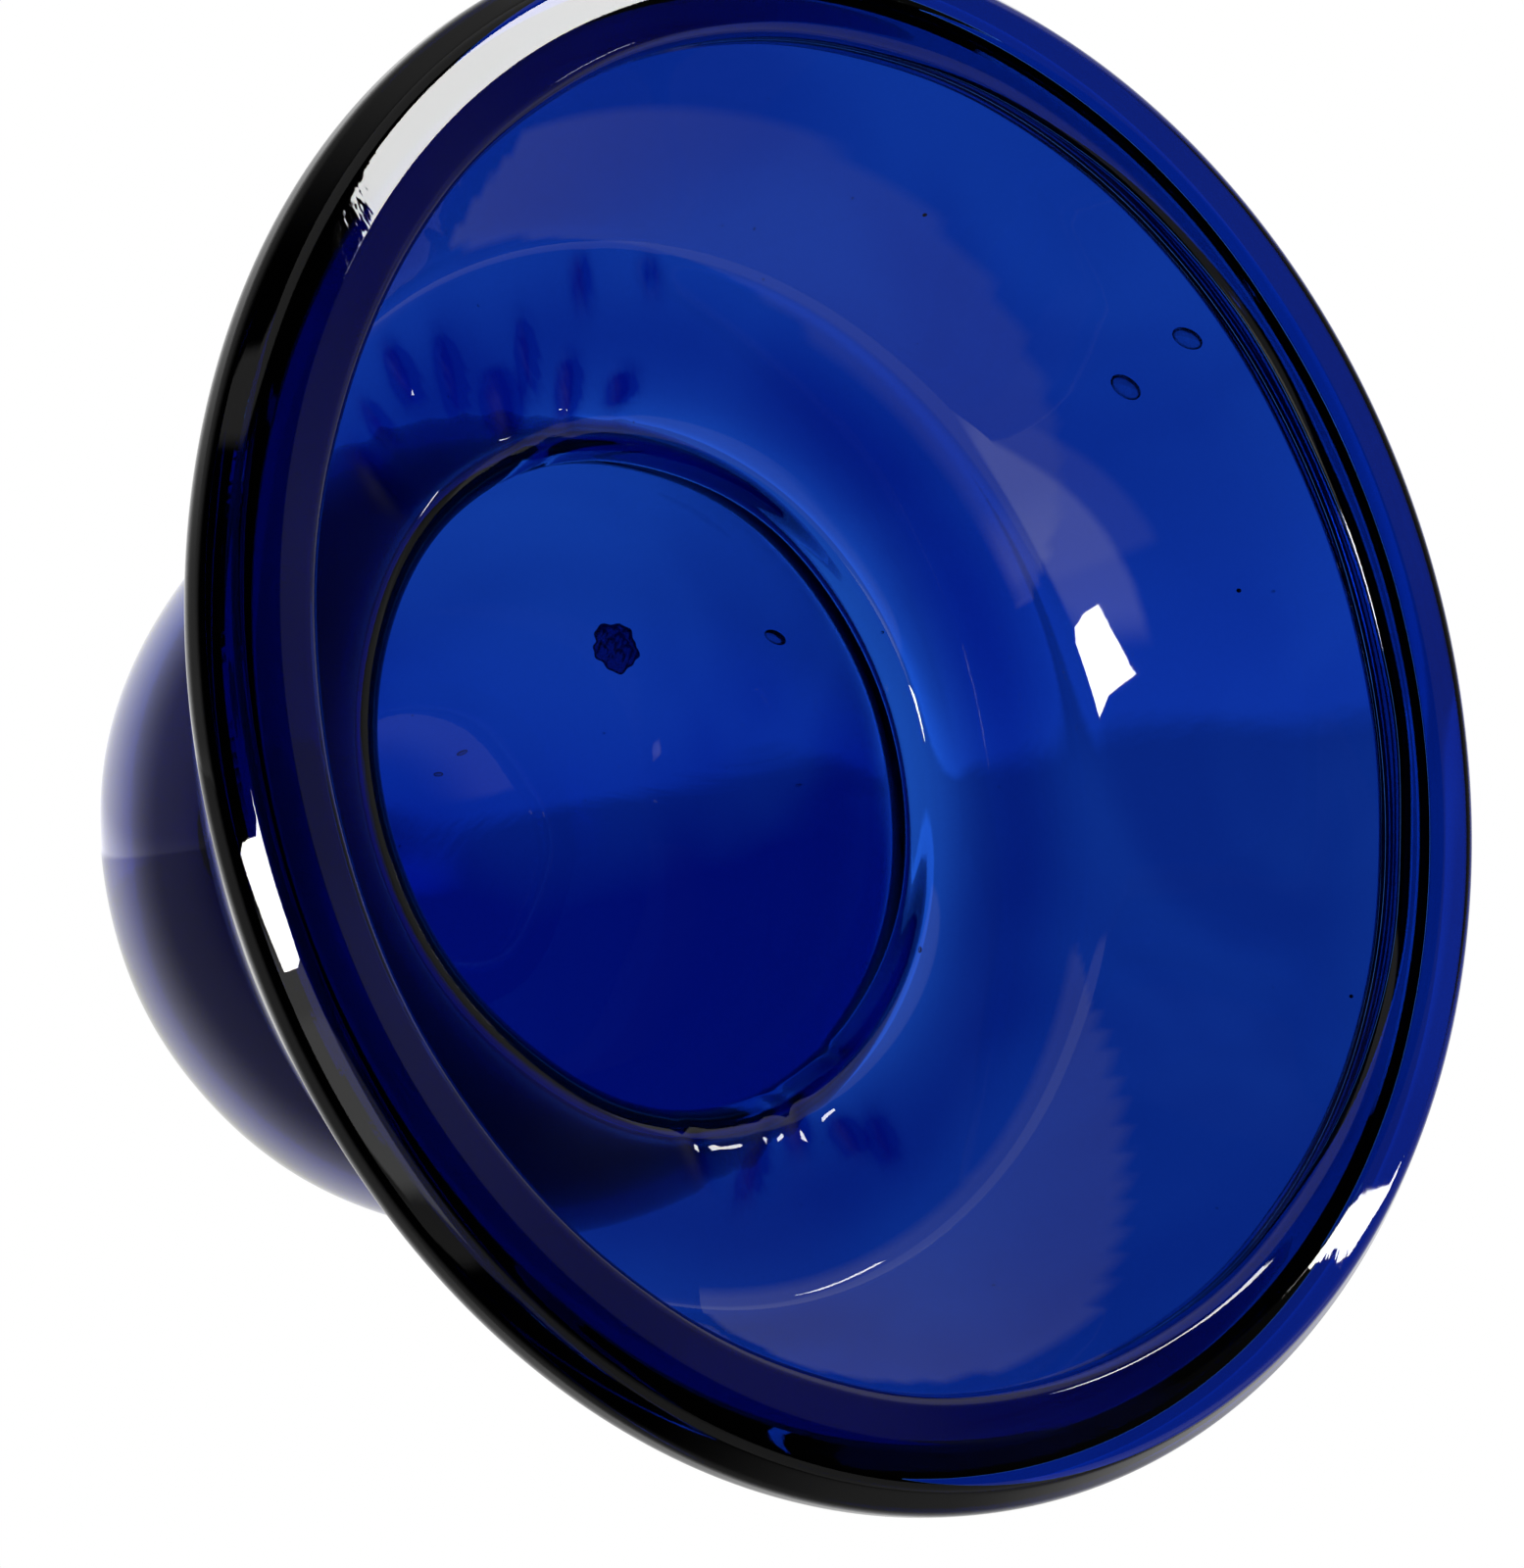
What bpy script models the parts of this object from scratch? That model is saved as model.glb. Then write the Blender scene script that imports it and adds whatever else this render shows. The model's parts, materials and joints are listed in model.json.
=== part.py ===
# Blown glass bell: a flared skirt with a heavy rolled rim, a flat shoulder, a waist and a hollow globe,
# with a scab of punty glass on the globe, and a glass loop and a wire ring on the crown to hang it by.
# Metres, +Z up. The bell stands on its rim: the origin is the centre of the mouth, in the rim's plane.
import bpy
import bmesh
from math import asin, atan2, cos, pi, radians, sin, sqrt
from mathutils import Matrix, Vector

MM = 0.001

# Shell, measured on its outside unless it says otherwise.
WALL = 2.6 * MM
GLOBE_RADIUS = 42.3 * MM
GLOBE_HEIGHT = 65.6 * MM            # height of the globe's centre
WAIST_RADIUS = 36.0 * MM            # narrowest place
WAIST_FILLET = 3.2 * MM
SHOULDER_SLOPE = 3.0                # degrees below level
SHOULDER_LENGTH = 14.0 * MM
SHOULDER_CORNER = 4.8 * MM
SKIRT_TOP_SLOPE = 57.0              # degrees below level
SKIRT_FOOT_SLOPE = 65.0
SKIRT_LENGTH = 32.6 * MM            # along the wall, which bows out a little
SHELL_STEPS = 48

# Rim.
SEAM_GAP = 0.3 * MM                 # between pieces that touch
RIM_INNER_RADIUS = 65.0 * MM
RIM_OUTER_RADIUS = 76.2 * MM
LAND_INNER_RADIUS = 69.8 * MM       # the flat land that the bell stands on
LAND_OUTER_RADIUS = 73.0 * MM

# Punty scar: polar angle is from the crown, azimuth from +X towards +Y.
SCAR_POLAR = 64.8
SCAR_AZIMUTH = 66.0
SCAR_RADIUS = 3.3 * MM
SCAR_HEIGHT = 1.6 * MM

# Crown loop and hanging ring.
PAD_RADIUS = 7.5 * MM
PAD_HEIGHT = 2.2 * MM
LOOP_RADIUS = 5.4 * MM              # to the middle of the glass rod
LOOP_ROD_RADIUS = 2.1 * MM
LOOP_LIFT = 5.6 * MM                # loop's centre above the crown
RING_RADIUS = 11.0 * MM             # to the middle of the wire
RING_WIRE_RADIUS = 0.9 * MM
RING_DROOP = 21.0                   # degrees below level, where the ring lies at rest

CROWN = GLOBE_HEIGHT + GLOBE_RADIUS
GLOBE_CENTRE = Vector((0.0, 0.0, GLOBE_HEIGHT))


def makeMaterial(name, colour, roughness, metallic, transmission):
    material = bpy.data.materials.new(name)
    material.use_nodes = True
    shader = material.node_tree.nodes["Principled BSDF"]
    shader.inputs["Base Color"].default_value = (*colour, 1.0)
    shader.inputs["Roughness"].default_value = roughness
    shader.inputs["Metallic"].default_value = metallic
    shader.inputs["Transmission Weight"].default_value = transmission
    return material


def addObject(name, mesh, collection, material=None):
    piece = bpy.data.objects.new(name, mesh)
    collection.objects.link(piece)
    if material is not None:
        mesh.materials.append(material)
    return piece


def meshFrom(bm, name):
    mesh = bpy.data.meshes.new(name)
    bm.to_mesh(mesh)
    bm.free()
    return mesh


def addProfile(name, points, closed, steps, collection, material):
    """A profile of (radius, height) points, turned about Z."""
    bm = bmesh.new()
    verts = [bm.verts.new((radius, 0.0, height)) for radius, height in points]
    for first, second in zip(verts, verts[1:]):
        bm.edges.new((first, second))
    if closed:
        bm.edges.new((verts[-1], verts[0]))
    piece = addObject(name, meshFrom(bm, name), collection, material)
    screw = piece.modifiers.new("turn", "SCREW")
    screw.steps = steps
    screw.render_steps = steps
    screw.use_merge_vertices = True
    screw.merge_threshold = 0.00001
    screw.use_smooth_shade = True
    return piece


class Path:
    """A drawn outline: runs and arcs that follow on from each other, each starting in the direction
    in which the last one ended. Headings are degrees, 0 outwards and -90 down."""

    def __init__(self, radius, height, heading):
        self.points = [(radius, height)]
        self.heading = heading

    def run(self, length):
        radius, height = self.points[-1]
        way = radians(self.heading)
        self.points.append((radius + length * cos(way), height + length * sin(way)))

    def arc(self, radius, turn, steps):
        """Turns left by turn degrees, or right where it is negative."""
        side = 1.0 if turn > 0 else -1.0
        start = radians(self.heading)
        x, y = self.points[-1]
        centre = (x - side * radius * sin(start), y + side * radius * cos(start))
        for step in range(1, steps + 1):
            way = start + radians(turn) * step / steps
            self.points.append((centre[0] + side * radius * sin(way), centre[1] - side * radius * cos(way)))
        self.heading += turn


def roundedOutline(corners, steps=4):
    """A closed outline through (radius, height, fillet) corners, each rounded by its fillet."""
    points = []
    for index, (x, y, fillet) in enumerate(corners):
        here = Vector((x, y))
        before = Vector(corners[index - 1][:2]) - here
        after = Vector(corners[(index + 1) % len(corners)][:2]) - here
        if fillet == 0.0:
            points.append((x, y))
            continue
        half = before.angle(after) / 2
        reach = fillet * cos(half) / sin(half)
        middle = here + (before.normalized() + after.normalized()).normalized() * (fillet / sin(half))
        start = here + before.normalized() * reach - middle
        end = here + after.normalized() * reach - middle
        turn = atan2(start.x * end.y - start.y * end.x, start.dot(end))
        for step in range(steps + 1):
            points.append(tuple(middle + Matrix.Rotation(turn * step / steps, 2) @ start))
    return points


def shellPath():
    """The shell's outside, from the crown down to the foot of the skirt."""
    # The waist's fillet touches the globe from outside, so its centre lies on the globe's own spoke.
    spokeAngle = 90.0 - asin((WAIST_RADIUS + WAIST_FILLET) / (GLOBE_RADIUS + WAIST_FILLET)) * 180.0 / pi
    path = Path(0.0, CROWN, 0.0)
    path.arc(GLOBE_RADIUS, -90.0 - spokeAngle, 15)
    path.arc(WAIST_FILLET, 90.0 + spokeAngle - SHOULDER_SLOPE, 5)
    path.run(SHOULDER_LENGTH)
    path.arc(SHOULDER_CORNER, SHOULDER_SLOPE - SKIRT_TOP_SLOPE, 4)
    bow = SKIRT_FOOT_SLOPE - SKIRT_TOP_SLOPE
    path.arc(SKIRT_LENGTH / radians(bow), -bow, 4)
    return path


def makeBody(collection, material):
    body = addProfile("bell_body", shellPath().points, False, SHELL_STEPS, collection, material)
    wall = body.modifiers.new("wall", "SOLIDIFY")
    wall.thickness = WALL
    wall.offset = -1.0
    wall.use_even_offset = True
    return body


def makeRim(collection, material):
    """The roll round the mouth, with a slanted seat that the foot of the skirt stands on."""
    foot = shellPath()
    way = radians(foot.heading)
    outerSeat = Vector(foot.points[-1]) + Vector((cos(way), sin(way))) * SEAM_GAP
    innerSeat = outerSeat + Vector((sin(way), -cos(way))) * WALL
    corners = [
        (RIM_INNER_RADIUS, 0.7 * MM, 1.6 * MM),
        (RIM_INNER_RADIUS, 4.6 * MM, 1.2 * MM),
        (innerSeat.x, innerSeat.y, 0.0),
        (outerSeat.x, outerSeat.y, 0.0),
        (RIM_OUTER_RADIUS, outerSeat.y, 3.4 * MM),
        (RIM_OUTER_RADIUS, 0.0, 2.9 * MM),
        (LAND_OUTER_RADIUS, 0.0, 0.0),
        (LAND_INNER_RADIUS, 0.0, 0.0),
    ]
    return addProfile("rim_wrap", roundedOutline(corners), True, SHELL_STEPS, collection, material)


def makeScar(collection, material):
    """A small broken-off nub that stands on the outside of the globe."""
    polar, azimuth = radians(SCAR_POLAR), radians(SCAR_AZIMUTH)
    spoke = Vector((sin(polar) * cos(azimuth), sin(polar) * sin(azimuth), cos(polar)))
    bm = bmesh.new()
    bmesh.ops.create_cone(bm, cap_ends=True, segments=14, radius1=SCAR_RADIUS, radius2=0.55 * SCAR_RADIUS,
                          depth=SCAR_HEIGHT)
    scar = addObject("punty_scar", meshFrom(bm, "punty_scar"), collection, material)
    scar.location = GLOBE_CENTRE + spoke * (GLOBE_RADIUS + SEAM_GAP + SCAR_HEIGHT / 2)
    scar.rotation_euler = spoke.to_track_quat("Z", "Y").to_euler()
    edge = scar.modifiers.new("edge", "BEVEL")
    edge.width = 0.3 * MM
    edge.segments = 2
    return scar


def makeLoop(collection, cutters, material):
    """A glass loop on a round pad, both cut to sit on the globe. The loop stands in the XZ plane."""
    bpy.ops.mesh.primitive_torus_add(major_radius=LOOP_RADIUS, minor_radius=LOOP_ROD_RADIUS,
                                     major_segments=28, minor_segments=10,
                                     location=(0.0, 0.0, CROWN + LOOP_LIFT), rotation=(pi / 2, 0.0, 0.0))
    loop = bpy.context.object
    loop.name = "crown_loop"
    bpy.context.collection.objects.unlink(loop)
    collection.objects.link(loop)
    loop.data.materials.append(material)

    # The pad is a dome whose foot circle reaches below the crown, before the globe is cut away.
    padFoot = -(GLOBE_RADIUS - sqrt(GLOBE_RADIUS ** 2 - PAD_RADIUS ** 2)) - 1.0 * MM
    dome = [(0.0, CROWN + PAD_HEIGHT), (0.5 * PAD_RADIUS, CROWN + 0.9 * PAD_HEIGHT),
            (0.8 * PAD_RADIUS, CROWN + 0.6 * PAD_HEIGHT), (0.96 * PAD_RADIUS, CROWN + 0.3 * PAD_HEIGHT),
            (PAD_RADIUS, CROWN - 0.1 * PAD_HEIGHT), (PAD_RADIUS, CROWN + padFoot), (0.0, CROWN + padFoot)]
    pad = addProfile("pad_joiner", dome, False, 32, cutters, None)

    bm = bmesh.new()
    bmesh.ops.create_uvsphere(bm, u_segments=48, v_segments=48, radius=GLOBE_RADIUS + SEAM_GAP)
    globe = addObject("globe_cutter", meshFrom(bm, "globe_cutter"), cutters)
    globe.location = GLOBE_CENTRE
    for helper, operation in ((pad, "UNION"), (globe, "DIFFERENCE")):
        helper.hide_render = True
        helper.display_type = "WIRE"
        cut = loop.modifiers.new(operation.lower(), "BOOLEAN")
        cut.object = helper
        cut.operation = operation
        cut.solver = "EXACT"
    return loop


def makeRing(collection, material):
    """The wire ring, with its origin on its hinge: the line along Y through the loop's hole. It lies
    over towards +X, drooping until it nearly rests on the globe."""
    bpy.ops.mesh.primitive_torus_add(major_radius=RING_RADIUS, minor_radius=RING_WIRE_RADIUS,
                                     major_segments=32, minor_segments=8)
    ring = bpy.context.object
    ring.name = "hanging_ring"
    bpy.context.collection.objects.unlink(ring)
    collection.objects.link(ring)
    ring.data.materials.append(material)
    ring.data.transform(Matrix.Translation((RING_RADIUS, 0.0, 0.0)))
    ring.location = (0.0, 0.0, CROWN + LOOP_LIFT)
    ring.rotation_euler = (0.0, radians(RING_DROOP), 0.0)
    return ring


def main():
    for item in list(bpy.data.objects):
        bpy.data.objects.remove(item, do_unlink=True)
    bell = bpy.data.collections.new("glass_bell")
    cutters = bpy.data.collections.new("cutters")
    bpy.context.scene.collection.children.link(bell)
    bpy.context.scene.collection.children.link(cutters)

    cobalt = (0.005, 0.035, 0.29)
    makeBody(bell, makeMaterial("body_glass", cobalt, 0.02, 0.0, 0.9))
    makeRim(bell, makeMaterial("rim_glass", (0.003, 0.01, 0.13), 0.02, 0.0, 0.8))
    makeScar(bell, makeMaterial("scar_glass", (0.003, 0.01, 0.07), 0.35, 0.0, 0.6))
    makeLoop(bell, cutters, makeMaterial("loop_glass", cobalt, 0.03, 0.0, 0.8))
    makeRing(bell, makeMaterial("ring_brass", (0.62, 0.44, 0.18), 0.3, 1.0, 0.0))

    for piece in bell.objects:
        piece.data.shade_smooth()
        piece.data.set_sharp_from_angle(angle=radians(40.0))


main()
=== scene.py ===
import json
import math
import bmesh
import bpy
import numpy as np
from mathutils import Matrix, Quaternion, Vector


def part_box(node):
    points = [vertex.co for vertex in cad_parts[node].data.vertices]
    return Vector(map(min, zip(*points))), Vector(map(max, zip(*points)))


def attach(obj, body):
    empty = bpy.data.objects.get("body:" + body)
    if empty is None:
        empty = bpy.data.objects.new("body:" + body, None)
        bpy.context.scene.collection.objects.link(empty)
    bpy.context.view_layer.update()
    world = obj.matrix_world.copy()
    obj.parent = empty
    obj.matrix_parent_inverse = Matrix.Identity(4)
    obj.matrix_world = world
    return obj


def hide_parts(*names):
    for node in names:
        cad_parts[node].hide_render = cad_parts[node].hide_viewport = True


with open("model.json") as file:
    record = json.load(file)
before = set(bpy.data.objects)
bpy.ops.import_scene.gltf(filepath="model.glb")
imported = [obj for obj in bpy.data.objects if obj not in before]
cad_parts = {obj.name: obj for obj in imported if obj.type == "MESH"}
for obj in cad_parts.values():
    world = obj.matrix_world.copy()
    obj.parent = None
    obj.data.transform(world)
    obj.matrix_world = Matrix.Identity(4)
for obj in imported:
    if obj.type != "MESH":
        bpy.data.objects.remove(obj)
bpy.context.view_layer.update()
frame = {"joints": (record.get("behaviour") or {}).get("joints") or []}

mm = 0.001
rng = np.random.default_rng(41)


# camera, windows, lamp, world and floor

cameraSettings = {
    "distance": 0.504,        # from the middle of the mouth
    "elevation": -48.81,      # it looks up into the mouth from the -Y side
    "aimAzimuth": 90.61,      # where the lens points
    "aimElevation": 50.58,
    "roll": -107.1,
    "lens": 122.91,
}


def direction(azimuth, elevation):
    # unit vector: azimuth from +X towards +Y, elevation above the horizon, in degrees
    a, e = math.radians(azimuth), math.radians(elevation)
    return Vector((math.cos(e) * math.cos(a), math.cos(e) * math.sin(a), math.sin(e)))


def makeCamera(s):
    # the lens points along its aim, and the body is then rolled about that line
    data = bpy.data.cameras.new("camera")
    data.lens = s["lens"]
    data.clip_start = 0.01
    camera = bpy.data.objects.new("camera", data)
    bpy.context.scene.collection.objects.link(camera)
    camera.location = direction(-90.0, s["elevation"]) * s["distance"]
    aim = direction(s["aimAzimuth"], s["aimElevation"])
    camera.rotation_mode = "QUATERNION"
    camera.rotation_quaternion = aim.to_track_quat("-Z", "Y") @ Quaternion((0, 0, 1), math.radians(s["roll"]))
    bpy.context.scene.camera = camera


# windows of the room: corners as azimuth and elevation seen from the bell, distance and radiance
windowSettings = {
    "tall": {
        "corners": ((-98.0, -17.0), (-84.0, -16.0), (-77.0, -21.0), (-93.0, -26.0)),
        "distance": 1.2,
        "radiance": 30.0,
    },
    "far": {
        "corners": ((74.5, -46.5), (80.0, -46.5), (80.5, -52.5), (74.5, -52.5)),
        "distance": 6.0,
        "radiance": 16.0,
    },
    "slit": {
        "corners": ((99.8, -44.2), (100.6, -44.2), (101.0, -46.6), (100.2, -46.6)),
        "distance": 6.0,
        "radiance": 22.0,
    },
}
windowSteps = 6
softLamp = {"azimuth": 200.0, "elevation": 70.0, "distance": 1.6, "size": 1.2, "energy": 30.0}


def makeWindow(name, s):
    # a bright slanted sheet: each point is a weighted sum of its four corners
    a, b, c, d = (np.array(direction(*corner)) * s["distance"] for corner in s["corners"])
    u, v = np.meshgrid(np.linspace(0, 1, windowSteps), np.linspace(0, 1, windowSteps))
    u, v = u[..., None], v[..., None]
    points = (1 - v) * ((1 - u) * a + u * b) + v * ((1 - u) * d + u * c)
    window = bpy.data.objects.new("window_" + name, gridMesh("window_" + name, points, False, False))
    bpy.context.scene.collection.objects.link(window)
    material = bpy.data.materials.new("daylight_" + name)
    material.use_nodes = True
    tree = material.node_tree
    glow = node(tree, "ShaderNodeEmission")
    glow.inputs["Strength"].default_value = s["radiance"]
    tree.links.new(glow.outputs["Emission"], tree.nodes["Material Output"].inputs["Surface"])
    window.data.materials.append(material)
    window.visible_camera = False
    window.visible_transmission = False


def makeLamp(s):
    # one broad soft lamp above the floor, which the glass does not mirror
    data = bpy.data.lights.new("soft_lamp", "AREA")
    data.size = s["size"]
    data.energy = s["energy"]
    lamp = bpy.data.objects.new("soft_lamp", data)
    bpy.context.scene.collection.objects.link(lamp)
    way = direction(s["azimuth"], s["elevation"])
    lamp.location = way * s["distance"]
    lamp.rotation_mode = "QUATERNION"
    lamp.rotation_quaternion = way.to_track_quat("Z", "Y")
    lamp.visible_camera = False
    lamp.visible_transmission = False
    lamp.visible_glossy = False


worldSettings = {
    "backdrop": 1.12,             # behind the bell
    "side": 0.24,                 # level with it
    "below": 0.015,               # under and behind the camera
    "aheadEdges": (0.35, 0.85),   # cosines from the lens's line between which side turns to backdrop
    "behindEdges": (-0.25, 0.2),  # and between which below turns to side
    "tableDip": 0.80,             # the lower part of the backdrop is this much as bright
    "tableEdge": 0.004,           # half width of the step at its upper edge
    "strip": 1.30,                # and a strip just over it this much
    "stripWidth": 0.06,
    "horizonTurn": -5.6,          # degrees that the table's edge leans
    "horizonUp": (0.953, 0.237, -0.187),
}
# pale walls of the room: azimuth, half width in degrees, upper and lower edge in degrees, radiance
paleWalls = [
    (186.0, 66.0, -13.0, -70.0, 0.24),
    (246.0, 14.0, -15.0, -40.0, 0.9),
    (20.0, 48.0, -9.0, -70.0, 0.34),
]


def node(tree, kind, place=(0, 0), **values):
    # a new node with its settings
    made = tree.nodes.new(kind)
    made.location = place
    for key, value in values.items():
        setattr(made, key, value)
    return made


def mathNode(tree, operation, first, second=None, place=(0, 0)):
    # one sum or product; each term is a number or another node's output
    made = node(tree, "ShaderNodeMath", place, operation=operation)
    for socket, value in zip(made.inputs, (first, second)):
        if value is None:
            continue
        if isinstance(value, (int, float)):
            socket.default_value = value
        else:
            tree.links.new(value, socket)
    return made.outputs["Value"]


def mapRange(tree, value, fromMin, fromMax, toMin, toMax, kind="SMOOTHSTEP", place=(0, 0)):
    # toMin + (toMax - toMin) x smooth step of (value - fromMin) / (fromMax - fromMin)
    made = node(tree, "ShaderNodeMapRange", place, interpolation_type=kind)
    tree.links.new(value, made.inputs["Value"])
    made.inputs["From Min"].default_value = fromMin
    made.inputs["From Max"].default_value = fromMax
    made.inputs["To Min"].default_value = toMin
    made.inputs["To Max"].default_value = toMax
    return made.outputs["Result"]


def alongDirection(tree, source, way, place=(0, 0)):
    # cosine between the ray and a fixed direction
    made = node(tree, "ShaderNodeVectorMath", place, operation="DOT_PRODUCT")
    tree.links.new(source, made.inputs[0])
    made.inputs[1].default_value = way
    return made.outputs["Value"]


def makeWorld(s):
    # light by direction: a bright backdrop past the bell, paler sides, and a dark room behind the camera
    world = bpy.data.worlds.new("studio")
    bpy.context.scene.world = world
    world.use_nodes = True
    tree = world.node_tree
    tree.nodes.clear()
    ray = node(tree, "ShaderNodeTexCoord", (-1200, 0)).outputs["Generated"]
    aim = direction(cameraSettings["aimAzimuth"], cameraSettings["aimElevation"])
    ahead = alongDirection(tree, ray, aim, (-1000, 0))
    behindBell = mapRange(tree, ahead, *s["aheadEdges"], s["side"], s["backdrop"], place=(-800, 100))
    behindCamera = mapRange(tree, ahead, *s["behindEdges"], s["below"], 1.0, place=(-800, -150))
    up = Vector(s["horizonUp"])
    up.rotate(Quaternion(aim, math.radians(s["horizonTurn"])))
    height = alongDirection(tree, ray, up, (-1000, -350))
    dip = mapRange(tree, height, -s["tableEdge"], s["tableEdge"], s["tableDip"] / s["strip"], 1.0,
                   place=(-800, -350))
    lit = mathNode(tree, "MULTIPLY", behindBell, behindCamera, (-600, 0))
    lit = mathNode(tree, "MULTIPLY", lit, dip, (-400, 0))
    strip = mapRange(tree, height, 0.0, s["stripWidth"], s["strip"], 1.0, place=(-800, -500))
    lit = mathNode(tree, "MULTIPLY", lit, strip, (-300, 0))
    sink = node(tree, "ShaderNodeSeparateXYZ", (-1000, -700))
    tree.links.new(ray, sink.inputs[0])
    for azimuth, half, upper, lower, radiance in paleWalls:
        facing = alongDirection(tree, ray, direction(azimuth, 0.0), (-800, -600))
        edge = math.cos(math.radians(half))
        level = math.cos(math.radians(0.5 * (upper + lower)))
        wide = mapRange(tree, facing, edge * level, (edge + 0.06) * level, 0.0, radiance)
        top, foot = math.sin(math.radians(upper)), math.sin(math.radians(lower))
        high = mapRange(tree, sink.outputs["Z"], top - 0.012, top, 1.0, 0.0)
        low = mapRange(tree, sink.outputs["Z"], foot, foot + 0.15, 0.0, 1.0)
        patch = mathNode(tree, "MULTIPLY", mathNode(tree, "MULTIPLY", wide, high), low)
        lit = mathNode(tree, "ADD", lit, patch)
    path = node(tree, "ShaderNodeLightPath", (-600, 300))
    level = node(tree, "ShaderNodeMix", (-200, 100), data_type="FLOAT")
    tree.links.new(path.outputs["Is Camera Ray"], level.inputs["Factor"])
    tree.links.new(lit, level.inputs["A"])
    level.inputs["B"].default_value = 1.0
    background = node(tree, "ShaderNodeBackground", (0, 0))
    background.inputs["Color"].default_value = (1, 1, 1, 1)
    tree.links.new(level.outputs["Result"], background.inputs["Strength"])
    output = node(tree, "ShaderNodeOutputWorld", (200, 0))
    tree.links.new(background.outputs["Background"], output.inputs["Surface"])


floorSettings = {"size": 8.0, "drop": 0.62}


def makeFloor(s):
    # a plain pale floor well below the bell, seen through the glass but not mirrored in it
    n = 24
    u, v = np.meshgrid(np.linspace(-1, 1, n), np.linspace(-1, 1, n))
    points = np.stack([u * s["size"], v * s["size"], 0 * u - s["drop"]], -1)
    mesh = gridMesh("floor", points, False, False)
    floor = bpy.data.objects.new("floor", mesh)
    bpy.context.scene.collection.objects.link(floor)
    material = bpy.data.materials.new("pale_paper")
    material.use_nodes = True
    tree = material.node_tree
    shader = tree.nodes["Principled BSDF"]
    shader.inputs["Roughness"].default_value = 0.8
    place = node(tree, "ShaderNodeTexCoord", (-800, 0)).outputs["Object"]
    grain = node(tree, "ShaderNodeTexNoise", (-600, 0))
    grain.inputs["Scale"].default_value = 6.0
    tree.links.new(place, grain.inputs["Vector"])
    colours = node(tree, "ShaderNodeMix", (-300, 0), data_type="RGBA")
    tree.links.new(grain.outputs["Fac"], colours.inputs["Factor"])
    colours.inputs["A"].default_value = (0.80, 0.80, 0.80, 1)
    colours.inputs["B"].default_value = (0.86, 0.86, 0.86, 1)
    tree.links.new(colours.outputs["Result"], shader.inputs["Base Color"])
    mesh.materials.append(material)
    floor.visible_glossy = False


# mesh helpers

def gridMesh(name, points, closeRows, closeColumns, poleStart=None, poleEnd=None):
    # quads between neighbours of a rows x columns grid; it may close either way, or end in a pole
    rows, columns = points.shape[:2]
    index = np.arange(rows * columns).reshape(rows, columns)
    here = index if closeRows else index[:-1]
    below = np.roll(index, -1, 0) if closeRows else index[1:]
    if closeColumns:
        hereNext, belowNext = np.roll(here, -1, 1), np.roll(below, -1, 1)
    else:
        here, hereNext = here[:, :-1], here[:, 1:]
        below, belowNext = below[:, :-1], below[:, 1:]
    quads = np.stack([here, below, belowNext, hereNext], -1).reshape(-1, 4)
    verts = points.reshape(-1, 3)
    fans = []
    for pole, ring, flip in ((poleStart, index[0], False), (poleEnd, index[-1], True)):
        if pole is None:
            continue
        tip = np.full(len(ring), len(verts))
        verts = np.vstack([verts, pole])
        fan = [tip, ring, np.roll(ring, -1)]
        fans.append(np.stack(fan[::-1] if flip else fan, -1))
    loops = [quads.ravel()] + [f.ravel() for f in fans]
    sizes = [np.full(len(quads), 4)] + [np.full(len(f), 3) for f in fans]
    loops, sizes = np.concatenate(loops), np.concatenate(sizes)
    mesh = bpy.data.meshes.new(name)
    mesh.vertices.add(len(verts))
    mesh.vertices.foreach_set("co", verts.astype(np.float32).ravel())
    mesh.loops.add(len(loops))
    mesh.loops.foreach_set("vertex_index", loops.astype(np.int32))
    mesh.polygons.add(len(sizes))
    mesh.polygons.foreach_set("loop_start", np.r_[0, np.cumsum(sizes)[:-1]].astype(np.int32))
    mesh.update(calc_edges=True)
    mesh.validate()
    mesh.shade_smooth()
    return mesh


def addPiece(name, mesh, material, body, slot, *stoodFor):
    # puts a mesh in the scene with its material and on its body
    piece = bpy.data.objects.new(name, mesh)
    bpy.context.scene.collection.objects.link(piece)
    mesh.materials.clear()
    mesh.materials.append(material)
    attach(piece, body)
    if stoodFor:
        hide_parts(*stoodFor)
    print("made", name, len(mesh.vertices), "points")
    return piece


def fuseRows(piece, seam, rows, columns):
    # the quads of the marked rows get the seam's material, so that light crosses from piece to piece
    piece.data.materials.append(seam)
    slots = np.zeros(len(piece.data.polygons), np.int32)
    marked = np.repeat(rows, columns)
    slots[:len(marked)] = marked
    piece.data.polygons.foreach_set("material_index", slots)


def turned(radius, height, azimuth):
    # radius and height arrays swung to their azimuths about Z
    return np.stack([radius * np.cos(azimuth), radius * np.sin(azimuth), height + 0 * azimuth], -1)


def softWave(azimuth, along, waves):
    # sum of sines round and along the bell: size x sin(turns x azimuth + pitch x along + phase)
    total = np.zeros(np.broadcast(azimuth, along).shape)
    for size, turns, pitch, phase in waves:
        total = total + size * np.sin(turns * azimuth + pitch * along + phase)
    return total


# the blown shell: skirt, shoulder, neck and globe

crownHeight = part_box("bell_body")[1].z
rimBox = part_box("rim_wrap")
rimRadius = rimBox[1].x

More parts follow.
